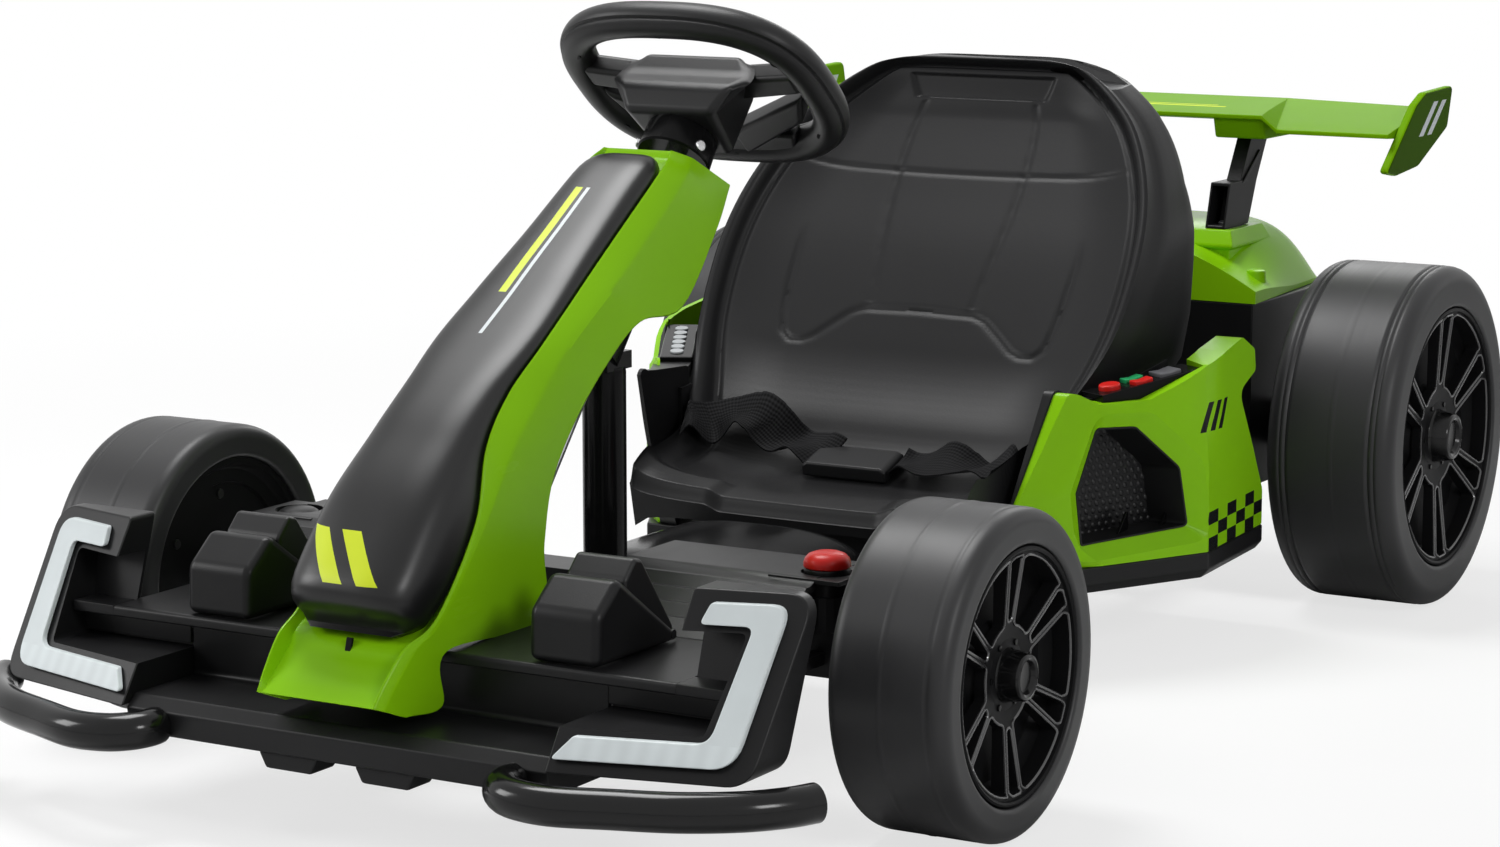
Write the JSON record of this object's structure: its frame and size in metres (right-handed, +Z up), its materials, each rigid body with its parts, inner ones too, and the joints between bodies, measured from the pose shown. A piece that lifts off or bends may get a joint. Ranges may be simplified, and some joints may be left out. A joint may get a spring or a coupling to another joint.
{
  "type": "electric ride-on go kart",
  "caption": "Child's battery-electric ride-on go kart: steel ladder frame, bucket seat, nose cowl over a steering column, side pods, rear wing and lamp bars.",
  "frame": {"origin": "on the ground, midway along the kart and on its middle plane", "axes": "+Z up, +Y towards the rear wing, +X towards the driver's left"},
  "size_m": [0.73, 1.2658, 0.5238],
  "materials": {
    "lime_plastic": "moulded lime green, satin gloss",
    "satin_black_plastic": "moulded black, satin",
    "gloss_black_plastic": "moulded black, gloss",
    "tyre_foam": "matt black",
    "seat_plastic": "blow-moulded black, fine grain",
    "black_steel": "black powder coat",
    "zinc_steel": "zinc plated",
    "white_lens": "frosted white",
    "red_plastic": "moulded red",
    "green_plastic": "moulded green",
    "grey_plastic": "moulded dark grey",
    "belt_webbing": "woven black webbing",
    "battery_case": "moulded dark grey"
  },
  "bodies": {
    "chassis": {"battery": "battery_case", "battery_cover": "satin_black_plastic", "belt_buckle": "satin_black_plastic", "bumper_tube_l": "gloss_black_plastic", "bumper_tube_r": "gloss_black_plastic", "control_panel_l": "satin_black_plastic", "control_panel_r": "satin_black_plastic", "drive_unit_l": "grey_plastic", "drive_unit_r": "grey_plastic", "foot_tray_l": "satin_black_plastic", "foot_tray_r": "satin_black_plastic", "front_axle_beam": "black_steel", "front_deck": "satin_black_plastic", "headlight_housing_l": "satin_black_plastic", "headlight_housing_r": "satin_black_plastic", "headlight_lens_l": "white_lens", "headlight_lens_r": "white_lens", "lap_belt_l": "belt_webbing", "lap_belt_r": "belt_webbing", "main_frame": "black_steel", "nose_cover": "satin_black_plastic", "nose_cowl": "lime_plastic", "rear_axle": "zinc_steel", "rear_body": "satin_black_plastic", "rear_cover": "lime_plastic", "rear_wing": "lime_plastic", "seat_shell": "seat_plastic", "side_pod_l": "lime_plastic", "side_pod_r": "lime_plastic", "side_sill_l": "satin_black_plastic", "side_sill_r": "satin_black_plastic", "steering_post": "black_steel", "toe_box_l": "satin_black_plastic", "toe_box_r": "satin_black_plastic", "wing_strut_l": "satin_black_plastic", "wing_strut_r": "satin_black_plastic"},
    "steering": {"steering_wheel": "satin_black_plastic", "steering_hub": "satin_black_plastic", "steering_shaft": "zinc_steel"},
    "tie_rod": {"tie_bar": "black_steel"},
    "knuckle_l": {"steering_knuckle_l": "black_steel", "kingpin_cap_l": "red_plastic"},
    "knuckle_r": {"steering_knuckle_r": "black_steel", "kingpin_cap_r": "red_plastic"},
    "front_wheel_l": {"front_tyre_l": "tyre_foam", "front_rim_l": "gloss_black_plastic"},
    "front_wheel_r": {"front_tyre_r": "tyre_foam", "front_rim_r": "gloss_black_plastic"},
    "rear_wheel_l": {"rear_tyre_l": "tyre_foam", "rear_rim_l": "gloss_black_plastic"},
    "rear_wheel_r": {"rear_tyre_r": "tyre_foam", "rear_rim_r": "gloss_black_plastic"},
    "brake": {"brake_pedal": "satin_black_plastic"},
    "accelerator": {"accelerator_pedal": "satin_black_plastic"},
    "start": {"start_button": "red_plastic"},
    "forward_switch": {"forward_rocker": "green_plastic"},
    "reverse_switch": {"reverse_rocker": "red_plastic"},
    "speed_switch": {"speed_rocker": "grey_plastic"}
  },
  "joints": [
    {"name": "steering_turn", "type": "hinge", "parent": "chassis", "child": "steering", "pos_m": [0, -0.132, 0.4625], "axis": [0, 0.6428, 0.766], "range_deg": [-45, 45]},
    {"name": "tie_bar_slide", "type": "slide", "parent": "chassis", "child": "tie_rod", "axis": [1, 0, 0], "range_m": [-0.0178, 0.0178]},
    {"name": "kingpin_l_turn", "type": "hinge", "parent": "chassis", "child": "knuckle_l", "pos_m": [0.217, -0.336, 0.109], "axis": [0, 0, 1], "range_deg": [-20, 20]},
    {"name": "kingpin_r_turn", "type": "hinge", "parent": "chassis", "child": "knuckle_r", "pos_m": [-0.217, -0.336, 0.109], "axis": [0, 0, 1], "range_deg": [-20, 20]},
    {"name": "front_wheel_l_spin", "type": "hinge", "parent": "knuckle_l", "child": "front_wheel_l", "pos_m": [0.32, -0.336, 0.109], "axis": [1, 0, 0], "continuous": true},
    {"name": "front_wheel_r_spin", "type": "hinge", "parent": "knuckle_r", "child": "front_wheel_r", "pos_m": [-0.32, -0.336, 0.109], "axis": [1, 0, 0], "continuous": true},
    {"name": "rear_wheel_l_spin", "type": "hinge", "parent": "chassis", "child": "rear_wheel_l", "pos_m": [0.295, 0.491, 0.142], "axis": [1, 0, 0], "continuous": true},
    {"name": "rear_wheel_r_spin", "type": "hinge", "parent": "chassis", "child": "rear_wheel_r", "pos_m": [-0.295, 0.491, 0.142], "axis": [1, 0, 0], "continuous": true},
    {"name": "brake_press", "type": "hinge", "parent": "chassis", "child": "brake", "pos_m": [0.1365, -0.44, 0.1347], "axis": [1, 0, 0], "range_deg": [0, 12], "stiffness_Nm_per_rad": 2, "springref_deg": -5.73},
    {"name": "accelerator_press", "type": "hinge", "parent": "chassis", "child": "accelerator", "pos_m": [-0.1365, -0.44, 0.1347], "axis": [1, 0, 0], "range_deg": [0, 12], "stiffness_Nm_per_rad": 2, "springref_deg": -5.73},
    {"name": "start_press", "type": "slide", "parent": "chassis", "child": "start", "axis": [0.0654, 0.1229, -0.9903], "range_m": [0, 0.0025], "stiffness_N_per_m": 300, "springref_m": -0.001},
    {"name": "forward_switch_rock", "type": "hinge", "parent": "chassis", "child": "forward_switch", "pos_m": [0.20224, 0.17367, 0.22067], "axis": [0.8828, -0.4697, 0], "range_deg": [-8, 8]},
    {"name": "reverse_switch_rock", "type": "hinge", "parent": "chassis", "child": "reverse_switch", "pos_m": [0.21318, 0.16784, 0.22067], "axis": [0.8828, -0.4697, 0], "range_deg": [-8, 8]},
    {"name": "speed_switch_rock", "type": "hinge", "parent": "chassis", "child": "speed_switch", "pos_m": [0.22073, 0.19523, 0.22456], "axis": [0.8828, -0.4697, 0], "range_deg": [-8, 8]}
  ],
  "couplings": [
    {"joint": "tie_bar_slide", "follows": "steering_turn", "m_per_rad": 0.02251},
    {"joint": "kingpin_l_turn", "follows": "steering_turn", "ratio": 0.4444},
    {"joint": "kingpin_r_turn", "follows": "steering_turn", "ratio": 0.4444}
  ]
}
